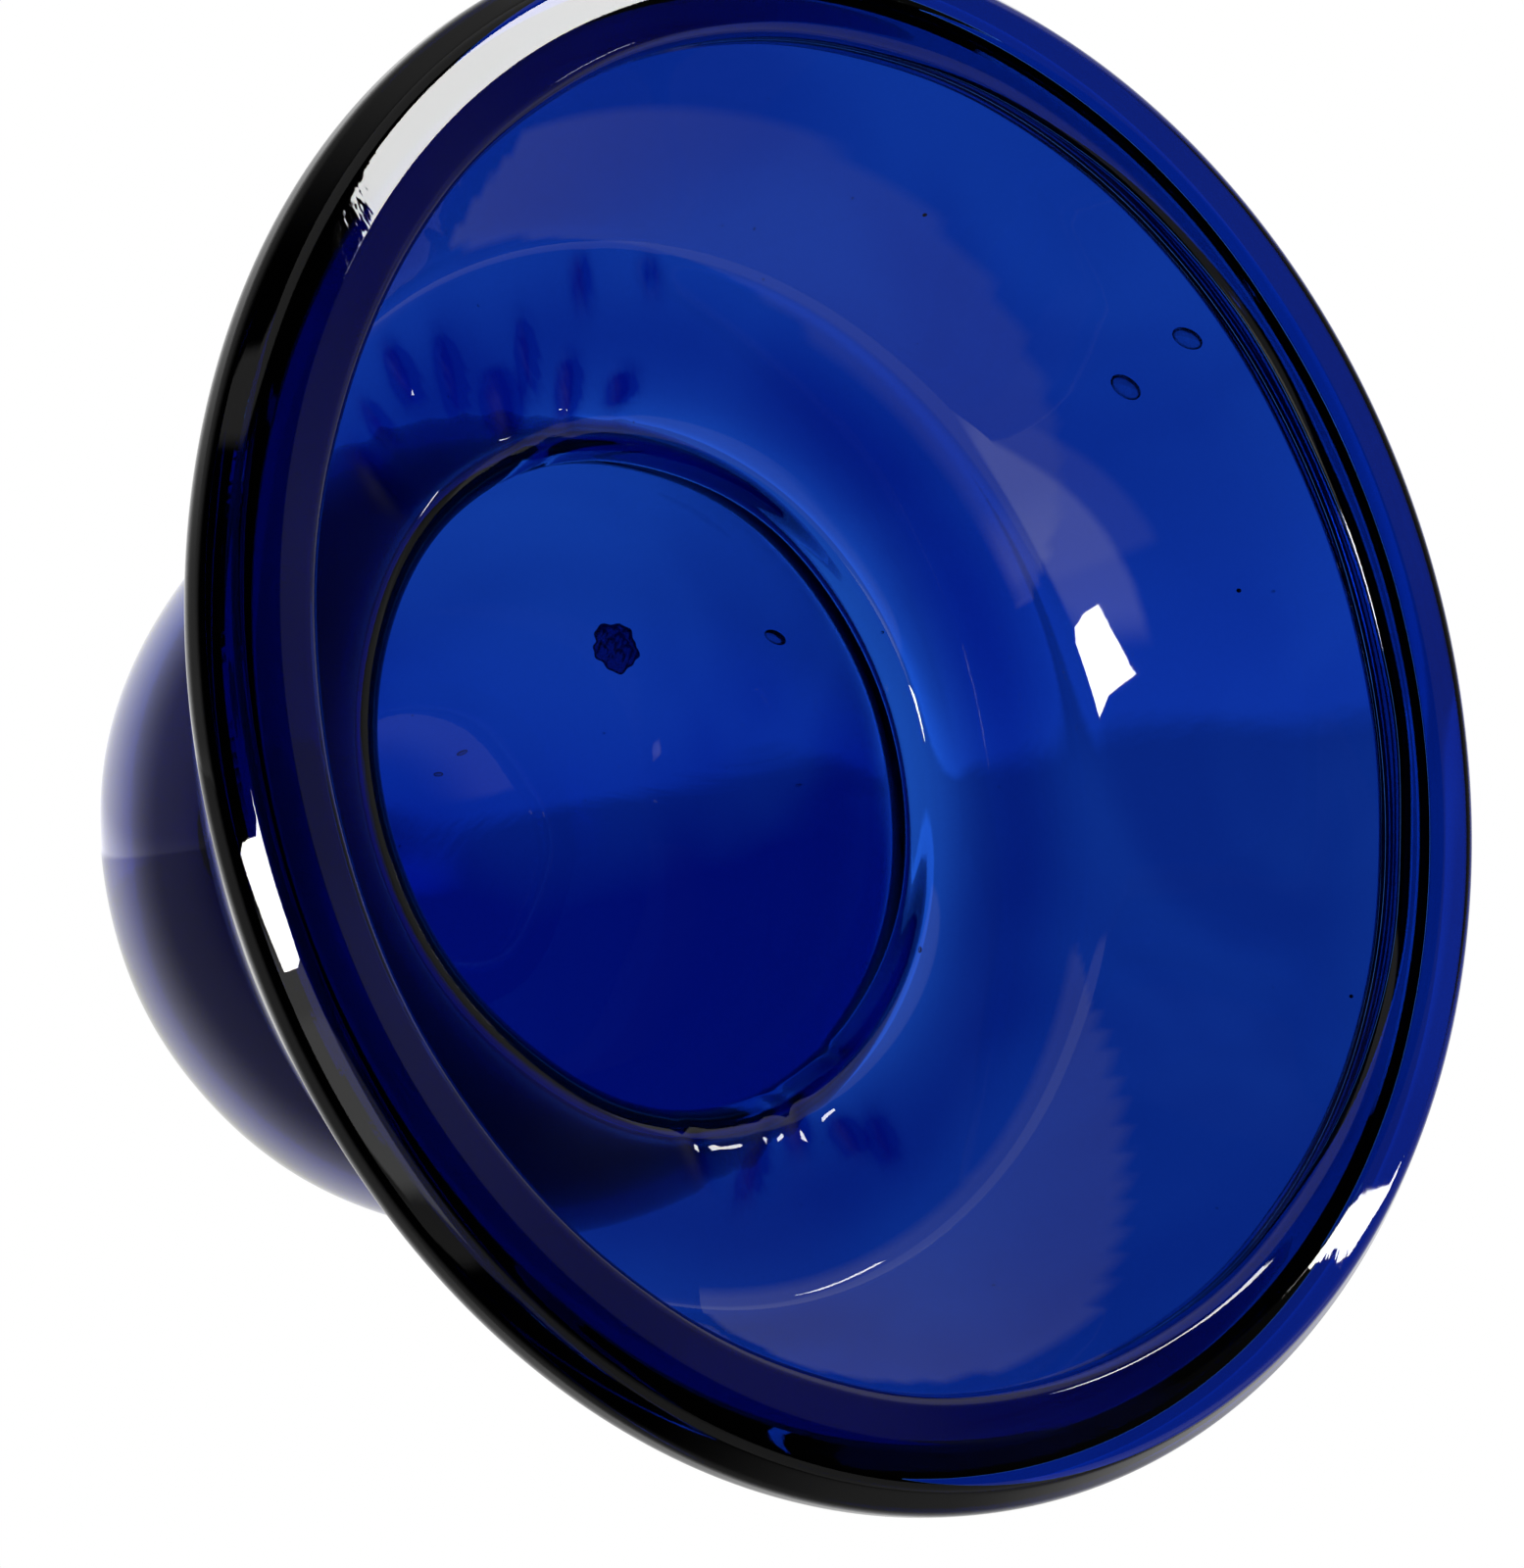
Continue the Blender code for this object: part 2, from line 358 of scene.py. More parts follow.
shellSettings = {
    "globeRadius": 42.3 * mm,
    "waistRadius": 36.0 * mm,
    "waistFillet": 1.4 * mm,
    "neckLength": 2.3 * mm,
    "shoulderSlope": 3.0,
    "shoulderLength": 15.6 * mm,
    "shoulderCorner": 4.8 * mm,
    "skirtSlopes": (57.0, 65.0),
    "skirtLength": 32.6 * mm,
    "wall": 2.6 * mm,
    "wallCrown": (-0.25 * mm, 45 * mm),               # thinner at the crown, blown out most: by, reach
    "wallShoulder": (0.25 * mm, 98 * mm, 14 * mm),    # thicker at the shoulder: by, place along, reach
    "calmEnds": (20 * mm, 9 * mm),                    # the waves die out this near the crown and the foot
    "dentShares": (0.2, 0.6),                         # how much of a mark shows outside and inside
    "cornerBlur": 0.7 * mm,       # how softly the outline goes round its corners
    "rows": 132,
    "columns": 340,
    "footRows": 8,
}
# shape waves: size, turns, pitch per metre, phase
shapeWaves = [
    (0.22 * mm, 2, 30.0, 0.4), (0.16 * mm, 3, -45.0, 1.9), (0.10 * mm, 5, 60.0, 4.1),
    (0.05 * mm, 9, -90.0, 2.2),
]
wallWaves = [
    (0.14 * mm, 1, 20.0, 2.4), (0.10 * mm, 2, -60.0, 0.3), (0.05 * mm, 4, 95.0, 1.1),
    (0.03 * mm, 7, -140.0, 5.0),
]
# jack marks: azimuth, distance along the outline from the crown, length, width, depth, lean in degrees
jackMarks = [
    (-21.0, 106.0, 5.0, 0.9, 0.45, 14.0), (-15.0, 103.0, 6.5, 0.7, 0.40, 20.0),
    (-9.5, 97.5, 5.0, 1.5, 0.62, 24.0), (-3.0, 101.0, 7.0, 0.6, 0.35, 16.0),
    (2.5, 97.0, 5.0, 0.9, 0.50, 26.0), (12.0, 96.5, 4.0, 1.0, 0.48, 48.0),
    (-5.0, 92.5, 7.0, 0.9, 0.32, 60.0), (8.0, 108.0, 6.0, 0.8, 0.24, 8.0),
    (18.0, 109.0, 5.0, 1.0, 0.20, -6.0), (-34.0, 100.0, 6.0, 1.3, 0.40, 12.0),
    (-28.0, 104.0, 4.0, 0.6, 0.30, 8.0), (178.0, 94.5, 4.5, 1.3, 0.40, 30.0),
    (170.0, 97.5, 4.0, 1.2, 0.34, -20.0), (188.0, 97.0, 7.0, 0.8, 0.36, 40.0),
    (158.0, 89.0, 3.5, 1.8, 0.42, 10.0), (199.0, 95.5, 5.0, 1.0, 0.30, -30.0),
    (165.0, 100.0, 5.0, 1.2, 0.22, 12.0),
]


def outline(s, count):
    # heading turns evenly along each stretch; radius and height are the sums of its cosine and sine
    spoke = 90.0 - math.degrees(math.asin((s["waistRadius"] + s["waistFillet"])
                                          / (s["globeRadius"] + s["waistFillet"])))
    top, foot = s["skirtSlopes"]
    headings = np.radians([0.0, -90.0 - spoke, -90.0, -90.0, -s["shoulderSlope"], -s["shoulderSlope"], -top,
                           -foot])
    turns = np.abs(np.diff(headings))
    lengths = [s["globeRadius"] * turns[0], s["waistFillet"] * turns[1], s["neckLength"],
               s["waistFillet"] * turns[3], s["shoulderLength"], s["shoulderCorner"] * turns[5],
               s["skirtLength"]]
    knots = np.r_[0.0, np.cumsum(lengths)]
    fine = np.linspace(0.0, knots[-1], 6000)
    step = fine[1]
    heading = np.interp(fine, knots, headings)
    reach = int(3 * s["cornerBlur"] / step)
    kernel = np.exp(-0.5 * (np.arange(-reach, reach + 1) * step / s["cornerBlur"]) ** 2)
    padded = np.r_[np.full(reach, heading[0]) - (heading[1] - heading[0]) * np.arange(reach, 0, -1), heading,
                   np.full(reach, heading[-1])]
    heading = np.convolve(padded, kernel / kernel.sum(), "valid")
    middle = 0.5 * (heading[1:] + heading[:-1])
    radius = np.r_[0.0, np.cumsum(np.cos(middle)) * step]
    height = crownHeight + np.r_[0.0, np.cumsum(np.sin(middle)) * step]
    effort = np.r_[0.0, np.cumsum(step / knots[-1] + 0.10 * np.abs(np.diff(heading)))]
    along = np.interp(np.linspace(effort[1] * 8, effort[-1], count), effort, fine)
    return (along, np.interp(along, fine, radius), np.interp(along, fine, height),
            np.interp(along, fine, heading))


def markField(azimuth, along, radius, marks):
    # each mark is a long soft dent: exp(-(length part)^2 - (width part)^2), leaning by its angle
    total = np.zeros(np.broadcast(azimuth, along).shape)
    for markAzimuth, place, length, width, depth, lean in marks:
        across = (azimuth - math.radians(markAzimuth) + math.pi) % (2 * math.pi) - math.pi
        x, y = across * radius, along - place * mm
        c, d = math.cos(math.radians(lean)), math.sin(math.radians(lean))
        u, v = (x * d + y * c) / (length * mm / 2), (x * c - y * d) / (width * mm)
        total = total + depth * mm * np.exp(-u * u - v * v)
    return total


def shellSurface(s, along, radius, height, heading, azimuth, side):
    # outer surface = outline + waves along its normal; inner surface = that, moved in by the wall
    a, r, z, h = (x[:, None] for x in (along, radius, height, heading))
    calmCrown, calmFoot = s["calmEnds"]
    fade = np.clip(a / calmCrown, 0, 1) * np.clip((along[-1] - a) / calmFoot, 0, 1)
    shift = softWave(azimuth[None], a, shapeWaves) * fade
    crownBy, crownReach = s["wallCrown"]
    shoulderBy, shoulderPlace, shoulderReach = s["wallShoulder"]
    wall = s["wall"] + crownBy * np.exp(-(a / crownReach) ** 2)
    wall = wall + shoulderBy * np.exp(-((a - shoulderPlace) / shoulderReach) ** 2)
    wall = wall + softWave(azimuth[None], a, wallWaves) * fade
    dent = markField(azimuth[None], a, r, jackMarks)
    dentOuter, dentInner = s["dentShares"]
    if side == "outer":
        shift = shift + dentOuter * dent
    else:
        shift = shift - wall + dentInner * dent
    return turned(r - np.sin(h) * shift, z + np.cos(h) * shift, azimuth[None])


# painted reflection: bands on the inner skin where a clear coat, its normal leaned to each band's slope,
# mirrors the pale walls; in degrees round the bell and millimetres along its outline
paintedReflectionBands = [
    {"start": -14.0, "end": 83.0, "top": 107.6, "drop": 0.17, "dropUntil": 45.0, "depth": 25.0, "rise": 0.08,
     "fall": 3.0, "slope": (27.5, 54.0)},
    {"start": 124.0, "end": 200.5, "top": 109.0, "drop": 0.0, "dropUntil": 124.0, "depth": 27.5, "rise": 0.60,
     "fall": 7.0, "slope": (48.5, 25.0)},
]
bandEdge = 0.35 * mm


def paintedReflectionField(azimuth, along):
    # share runs 0 to 1 from start to end; the foot is top + depth x min(1, (share / rise) ^ 0.8) x
    # sqrt(1 - share ^ fall); cover fades over the edge, and way is the normal of a cone of the band's slope
    # painted reflection: the coat over the covered part takes the leaned normal way, so that it mirrors the
    # pale walls
    cover = np.zeros(np.broadcast(azimuth, along).shape)
    slope = np.full(cover.shape, shellSettings["skirtSlopes"][0])
    degrees = (np.degrees(azimuth) + 155.0) % 360.0 - 155.0
    for band in paintedReflectionBands:
        share = (degrees - band["start"]) / (band["end"] - band["start"])
        inside = (share > 0) & (share < 1)
        share = np.clip(share, 0, 1)
        top = band["top"] + band["drop"] * np.clip(band["dropUntil"] - degrees, 0, None)
        foot = band["top"] + band["depth"] * np.clip((share / band["rise"]) ** 0.8, 0, 1) * np.sqrt(
            1 - share ** band["fall"])
        part = np.clip((along - top * mm) / bandEdge, 0, 1) * np.clip((foot * mm - along) / bandEdge, 0, 1)
        cover = np.maximum(cover, part * inside)
        slope = np.where(inside, band["slope"][0] + (band["slope"][1] - band["slope"][0]) * share, slope)
    lean = np.radians(slope)
    way = np.stack([-np.sin(lean) * np.cos(azimuth), -np.sin(lean) * np.sin(azimuth), -np.cos(lean)], -1)
    return cover, way


# how deep the blue runs, from 0 thin to 1 deep, with painted shade in the jack marks; places and reaches
# along the outline
blueSettings = {
    "skirt": 0.73,
    "globe": (0.27, 88 * mm, 6 * mm),       # added above this place, coming in over this reach
    "sides": (0.44, 0.14, 60 * mm),         # less towards +X and +Y, growing over this reach from the crown
    "shoulder": (0.14, 102 * mm, 6 * mm),
    "neck": (-0.7, 91 * mm, 3 * mm),
    "marks": 1.6 / mm,                      # painted shade: the blue deepens in the jack marks, per metre of their depth
}


def depthField(s, azimuth, along):
    # the skirt's value, plus a step for the globe and a bell curve each for shoulder and neck
    globeBy, globePlace, globeReach = s["globe"]
    sideX, sideY, sideReach = s["sides"]
    globe = np.clip((globePlace - along) / globeReach, 0, 1)
    side = (sideX * np.cos(azimuth) + sideY * np.sin(azimuth)) * np.clip(along / sideReach, 0, 1)
    depth = s["skirt"] + globe * (globeBy - side)
    for by, place, reach in (s["shoulder"], s["neck"]):
        depth = depth + by * np.exp(-((along - place) / reach) ** 2)
    return depth


def makeShell(s, material, seam):
    # outer skin down, foot across and inner skin up as one grid turned about Z, closed by a pole at each end
    azimuth = np.linspace(0, 2 * math.pi, s["columns"], endpoint=False)
    along, radius, height, heading = outline(s, s["rows"])
    outer = shellSurface(s, along, radius, height, heading, azimuth, "outer")
    inner = shellSurface(s, along, radius, height, heading, azimuth, "inner")
    # the foot: a straight cut from the outer to the inner surface
    t = np.linspace(0, 1, s["footRows"] + 2)[1:-1, None, None]
    foot = outer[-1][None] * (1 - t) + inner[-1][None] * t
    points = np.concatenate([outer, foot, inner[::-1]])
    topOuter = np.array([0, 0, outer[0, :, 2].mean() + 0.5 * outer[0, 0, 0] ** 2 / s["globeRadius"]])
    topInner = np.array([0, 0, inner[0, :, 2].mean() + 0.5 * inner[0, 0, 0] ** 2 / s["globeRadius"]])
    mesh = gridMesh("blown_shell", points, False, True, topOuter, topInner)
    # painted reflection: where the clear coat is laid, and the leaned normal it mirrors with
    cover, way = paintedReflectionField(azimuth[None], along[:, None])
    blank = np.zeros((len(outer) + len(foot), s["columns"]))
    values = np.r_[np.concatenate([blank, cover[::-1]]).ravel(), 0.0, 0.0]
    mesh.attributes.new("paintedReflectionCover", "FLOAT", "POINT").data.foreach_set("value", values.astype(np.float32))
    down = np.zeros((*blank.shape, 3)) + (0, 0, -1)
    ways = np.vstack([np.concatenate([down, way[::-1]]).reshape(-1, 3), [(0, 0, -1)] * 2])
    lean = mesh.attributes.new("paintedReflectionNormal", "FLOAT_VECTOR", "POINT")
    lean.data.foreach_set("vector", ways.astype(np.float32).ravel())
    marks = markField(azimuth[None], along[:, None], radius[:, None], jackMarks)
    # painted shade: the jack marks deepen the blue
    depth = depthField(blueSettings, azimuth[None], along[:, None]) + blueSettings["marks"] * marks
    depths = np.concatenate([depth, depth[-1:] + 0 * foot[..., 0], depth[::-1]])
    values = np.r_[depths.ravel(), depth[0, 0], depth[0, 0]]
    mesh.attributes.new("tintAndMarkShade", "FLOAT", "POINT").data.foreach_set("value", values.astype(np.float32))
    piece = addPiece("blown_shell", mesh, material, "bell", "body_glass", "bell_body")
    rows = np.arange(len(points) - 1)
    fuseRows(piece, seam, (rows >= len(outer) - 1) & (rows < len(outer) + len(foot)), s["columns"])
    return piece


# the rolled rim

rimSettings = {
    "innerRadius": 65.0 * mm,
    "landInner": 69.8 * mm,
    "seam": 0.04 * mm,
    "step": 0.5 * mm,
    "columns": 340,
}
rimWaves = [
    (0.16 * mm, 3, 0.0, 0.7), (0.12 * mm, 5, 0.0, 2.9), (0.06 * mm, 11, 0.0, 1.3),
    (0.03 * mm, 19, 0.0, 4.0),
]


def roundedLoop(corners, step):
    # a closed outline with each corner rounded by its own radius; straight stretches are cut into short steps
    points = []
    for i, (x, y, fillet) in enumerate(corners):
        here = np.array([x, y])
        back = np.array(corners[i - 1][:2]) - here
        on = np.array(corners[(i + 1) % len(corners)][:2]) - here
        back, on = back / np.linalg.norm(back), on / np.linalg.norm(on)
        if fillet == 0.0:
            points.append(here[None])
            continue
        half = 0.5 * math.acos(float(np.clip(back @ on, -1, 1)))
        reach = fillet / math.tan(half)
        centre = here + (back + on) / np.linalg.norm(back + on) * fillet / math.sin(half)
        start, end = here + back * reach - centre, here + on * reach - centre
        turn = math.atan2(start[0] * end[1] - start[1] * end[0], start @ end)
        angle = turn * np.linspace(0, 1, 20)[:, None]
        normal = np.array([-start[1], start[0]])
        points.append(centre + np.cos(angle) * start + np.sin(angle) * normal)
    points = np.concatenate(points)
    closed = np.vstack([points, points[:1]])
    fine = []
    for a, b in zip(closed[:-1], closed[1:]):
        parts = max(1, math.ceil(np.linalg.norm(b - a) / step))
        fine.append(a + (b - a) * np.linspace(0, 1, parts, endpoint=False)[:, None])
    return np.concatenate(fine).T


def makeRim(s, material, seam):
    # one section turned about Z; its inner side wavers, and its outer side and foot keep their place
    radius, height, heading = outline(shellSettings, shellSettings["rows"])[1:]
    way = heading[-1]
    outerSeat = np.array([radius[-1], height[-1]]) + s["seam"] * np.array([math.cos(way), math.sin(way)])
    innerSeat = outerSeat + shellSettings["wall"] * np.array([math.sin(way), -math.cos(way)])
    corners = [
        (s["innerRadius"], 0.7 * mm, 1.7 * mm),
        (s["innerRadius"] - 0.1 * mm, 4.9 * mm, 1.6 * mm),
        (innerSeat[0], innerSeat[1], 0.0),
        (outerSeat[0], outerSeat[1], 0.0),
        (rimRadius, outerSeat[1], 3.2 * mm),
        (rimRadius, 2.9 * mm, 2.2 * mm),
        (rimRadius - 2.2 * mm, 0.0, 1.5 * mm),
        (s["landInner"], 0.0, 1.4 * mm),
    ]
    r, z = roundedLoop(corners, s["step"])
    azimuth = np.linspace(0, 2 * math.pi, s["columns"], endpoint=False)
    inward = np.clip((s["landInner"] - r) / (s["landInner"] - s["innerRadius"]), 0, 1)[:, None]
    inward = inward * np.clip((outerSeat[1] - z) / (2.5 * mm), 0, 1)[:, None]
    waver = softWave(azimuth[None], 0 * r[:, None], rimWaves) * inward
    lift = 0.5 * softWave(azimuth[None] + 1.0, 0 * r[:, None], rimWaves) * inward
    points = turned(r[:, None] + waver, z[:, None] + np.abs(lift), azimuth[None])
    mesh = gridMesh("rolled_rim", points, True, True)
    piece = addPiece("rolled_rim", mesh, material, "bell", "rim_glass", "rim_wrap")
    # the seat is every row that lies on the straight line between its two corners
    line = (outerSeat - innerSeat) / np.linalg.norm(outerSeat - innerSeat)
    off = np.stack([r, z], -1) - innerSeat
    onSeat = (np.abs(off[:, 0] * line[1] - off[:, 1] * line[0]) < 1e-6) & (off @ line > -1e-6)
    fuseRows(piece, seam, onSeat & np.roll(onSeat, -1), s["columns"])
    return piece


# glass

glassSettings = {
    "body": {"thin": (0.012, 0.09, 0.56), "deep": (0.0001, 0.004, 0.17), "roughness": 0.012, "swirl": 0.13,
             "field": True},
    "rim": {"thin": (0.0010, 0.016, 0.24), "deep": (0.0003, 0.007, 0.16), "roughness": 0.012, "swirl": 0.4},
    "scar": {"thin": (0.05, 0.12, 0.35), "deep": (0.002, 0.01, 0.08), "roughness": 0.30, "swirl": 2.4},
    "loop": {"thin": (0.004, 0.050, 0.42), "deep": (0.001, 0.020, 0.26), "roughness": 0.02, "swirl": 0.6},
}


def blownGroup():
    # cords and cloud in the glass: a drawn-out noise for the streaks, a round one for the cloud
    group = bpy.data.node_groups.new("blown_glass", "ShaderNodeTree")
    face = group.interface
    face.new_socket("Vector", in_out="INPUT", socket_type="NodeSocketVector")
    for name, value in (("Cloud Scale", 26.0), ("Cord Scale", 60.0)):
        face.new_socket(name, in_out="INPUT", socket_type="NodeSocketFloat").default_value = value
    for name in ("Cloud", "Cord"):
        face.new_socket(name, in_out="OUTPUT", socket_type="NodeSocketFloat")
    start = node(group, "NodeGroupInput", (-900, 0))
    end = node(group, "NodeGroupOutput", (500, 0))
    cloud = node(group, "ShaderNodeTexNoise", (-300, 150))
    cloud.inputs["Detail"].default_value = 2.0
    cloud.inputs["Distortion"].default_value = 0.8
    group.links.new(start.outputs["Vector"], cloud.inputs["Vector"])
    group.links.new(start.outputs["Cloud Scale"], cloud.inputs["Scale"])
    drawn = node(group, "ShaderNodeMapping", (-600, -150))
    drawn.inputs["Scale"].default_value = (1.0, 1.0, 0.22)
    drawn.inputs["Rotation"].default_value = (0.35, -0.25, 0.0)
    group.links.new(start.outputs["Vector"], drawn.inputs["Vector"])
    cord = node(group, "ShaderNodeTexNoise", (-300, -150))
    cord.inputs["Detail"].default_value = 4.0
    cord.inputs["Distortion"].default_value = 1.6
    group.links.new(drawn.outputs["Vector"], cord.inputs["Vector"])
    group.links.new(start.outputs["Cord Scale"], cord.inputs["Scale"])
    group.links.new(cloud.outputs["Fac"], end.inputs["Cloud"])
    group.links.new(cord.outputs["Fac"], end.inputs["Cord"])
    return group


def makeGlass(name, s, group):
    # coloured glass: the tint goes from thin to deep by its depth plus a cloud, and cords give a faint bump
    material = bpy.data.materials.new(name)
    material.use_nodes = True
    tree = material.node_tree
    shader = tree.nodes["Principled BSDF"]
    shader.inputs["IOR"].default_value = 1.5
    shader.inputs["Transmission Weight"].default_value = 1.0
    place = node(tree, "ShaderNodeTexCoord", (-1400, 0)).outputs["Object"]
    blown = node(tree, "ShaderNodeGroup", (-1100, 0))
    blown.node_tree = group
    tree.links.new(place, blown.inputs["Vector"])
    half = 0.5 * s["swirl"]
    if s.get("field"):
        depth = node(tree, "ShaderNodeAttribute", (-1100, 300), attribute_name="tintAndMarkShade").outputs["Fac"]
        cloud = mapRange(tree, blown.outputs["Cloud"], 0.3, 0.7, -half, half, place=(-900, 100))
        shade = mathNode(tree, "ADD", depth, cloud, (-700, 200))
    else:
        shade = mapRange(tree, blown.outputs["Cloud"], 0.3, 0.7, 0.5 - half, 0.5 + half, place=(-700, 200))
    colours = node(tree, "ShaderNodeMix", (-500, 0), data_type="RGBA", clamp_factor=True)
    tree.links.new(shade, colours.inputs["Factor"])
    colours.inputs["A"].default_value = (*s["thin"], 1)
    colours.inputs["B"].default_value = (*s["deep"], 1)
    tree.links.new(colours.outputs["Result"], shader.inputs["Base Color"])
    rough = mapRange(tree, blown.outputs["Cord"], 0.3, 0.7, 0.4 * s["roughness"], 1.6 * s["roughness"],
                     place=(-500, -250))
    tree.links.new(rough, shader.inputs["Roughness"])
    bump = node(tree, "ShaderNodeBump", (-500, -500))
    bump.inputs["Distance"].default_value = 0.02 * mm
    bump.inputs["Strength"].default_value = 0.5
    tree.links.new(blown.outputs["Cord"], bump.inputs["Height"])
    if s.get("field"):
        # painted reflection: a clear coat over the bands, its normal leaned so that it mirrors the pale walls
        cover = node(tree, "ShaderNodeAttribute", (-700, -750), attribute_name="paintedReflectionCover").outputs["Fac"]
        tree.links.new(mathNode(tree, "MULTIPLY", cover, 0.9, (-500, -750)), shader.inputs["Coat Weight"])
        way = node(tree, "ShaderNodeAttribute", (-700, -950), attribute_name="paintedReflectionNormal").outputs["Vector"]
        tree.links.new(way, shader.inputs["Coat Normal"])
        shader.inputs["Coat Roughness"].default_value = 0.04
    normal = bump.outputs["Normal"]
    tree.links.new(normal, shader.inputs["Normal"])
    return material


def makeSeam(group):
    # where two pieces are melted together light goes straight on: no bend, with a breath of cloud
    material = bpy.data.materials.new("melted_seam")
    material.use_nodes = True
    tree = material.node_tree
    shader = tree.nodes["Principled BSDF"]
    shader.inputs["IOR"].default_value = 1.0
    shader.inputs["Transmission Weight"].default_value = 1.0
    shader.inputs["Roughness"].default_value = 0.0
    blown = node(tree, "ShaderNodeGroup", (-600, 0))
    blown.node_tree = group
    tree.links.new(node(tree, "ShaderNodeTexCoord", (-800, 0)).outputs["Object"], blown.inputs["Vector"])
    colours = node(tree, "ShaderNodeMix", (-300, 0), data_type="RGBA")
    tree.links.new(blown.outputs["Cloud"], colours.inputs["Factor"])
    colours.inputs["A"].default_value = (1.0, 1.0, 1.0, 1)
    colours.inputs["B"].default_value = (0.93, 0.96, 1.0, 1)
    tree.links.new(colours.outputs["Result"], shader.inputs["Base Color"])
    return material


# the punty scar

scarSettings = {"polar": 64.8, "azimuth": 66.0, "radius": 3.3 * mm, "height": 1.6 * mm, "gap": 0.03 * mm,
                "rows": 40, "columns": 72}


def makeScar(s, material):
    # a broken-off scab: a dome over a round foot, chipped by products of sines, its foot wrapped on the globe
    globe = np.array([0, 0, crownHeight - shellSettings["globeRadius"]])
    outer = shellSettings["globeRadius"] + s["gap"]
    way = np.array(direction(s["azimuth"], 90.0 - s["polar"]))
    side = np.cross(way, (0, 0, 1))
    side = side / np.linalg.norm(side)
    over = np.cross(way, side)
    turn = np.linspace(0, 2 * math.pi, s["columns"], endpoint=False)[None]
    share = np.linspace(0.03, 1, s["rows"])[:, None]
    edge = 1 + 0.10 * np.sin(2 * turn + 0.6) + 0.07 * np.sin(5 * turn + 2.0) + 0.04 * np.sin(11 * turn)
    reach = 0.86 * s["radius"] * share * edge
    x, y = reach * np.cos(turn), reach * np.sin(turn)
    chips = np.abs(np.sin(1900 * x + 0.8) * np.sin(2300 * y - 0.4))
    chips = chips + 0.5 * np.abs(np.sin(3700 * x - 2900 * y))
    rise = s["height"] * np.sqrt(1 - share ** 2) * (0.55 + 0.30 * np.clip(chips, 0, 1.4))
    sink = outer - np.sqrt(outer ** 2 - x ** 2 - y ** 2)

    # from across, over and out to the bell's frame
    def place(x, y, z):
        return globe + x[..., None] * side + y[..., None] * over + z[..., None] * way

    top = place(x, y, outer - sink + rise)
    under = place(x, y, outer - sink + 0 * rise)[::-1]
    points = np.concatenate([top, under[1:]])
    tipTop = globe + way * (outer + rise[0].mean())
    tipUnder = globe + way * outer
    mesh = gridMesh("punty_scab", points, False, True, tipTop, tipUnder)
    return addPiece("punty_scab", mesh, material, "bell", "scar_glass", "punty_scar")


# the crown loop

loopSettings = {"radius": 5.4 * mm, "rod": 2.1 * mm, "pad": 7.4 * mm, "padHeight": 2.2 * mm,
                "foot": 58.0, "voxel": 0.28 * mm, "gap": 0.03 * mm}
hinge = Vector(frame["joints"][0]["pos_m"])


def tube(path, radius, normal, columns, capRows=8):
    # circles square to a path, each of its own radius; the ends close as round caps
    turn = np.linspace(0, 2 * math.pi, columns, endpoint=False)
    along = np.gradient(path, axis=0)
    along = along / np.linalg.norm(along, axis=1)[:, None]
    side = np.cross(along, normal)
    side = side / np.linalg.norm(side, axis=1)[:, None]
    up = np.cross(side, along)
    ring = (side[:, None] * np.cos(turn)[None, :, None] + up[:, None] * np.sin(turn)[None, :, None])
    cap = np.linspace(0, 1, capRows, endpoint=False)[1:] * math.pi / 2
    body = path[:, None] + ring * radius[:, None, None]
    start = (path[0] - along[0] * radius[0] * np.cos(cap)[:, None])[:, None] + (
        ring[0][None] * radius[0] * np.sin(cap)[:, None, None])
    end = (path[-1] + along[-1] * radius[-1] * np.sin(cap)[:, None])[:, None] + (
        ring[-1][None] * radius[-1] * np.cos(cap)[:, None, None])
    tips = path[0] - along[0] * radius[0], path[-1] + along[-1] * radius[-1]
    return np.concatenate([start, body, end]), *tips


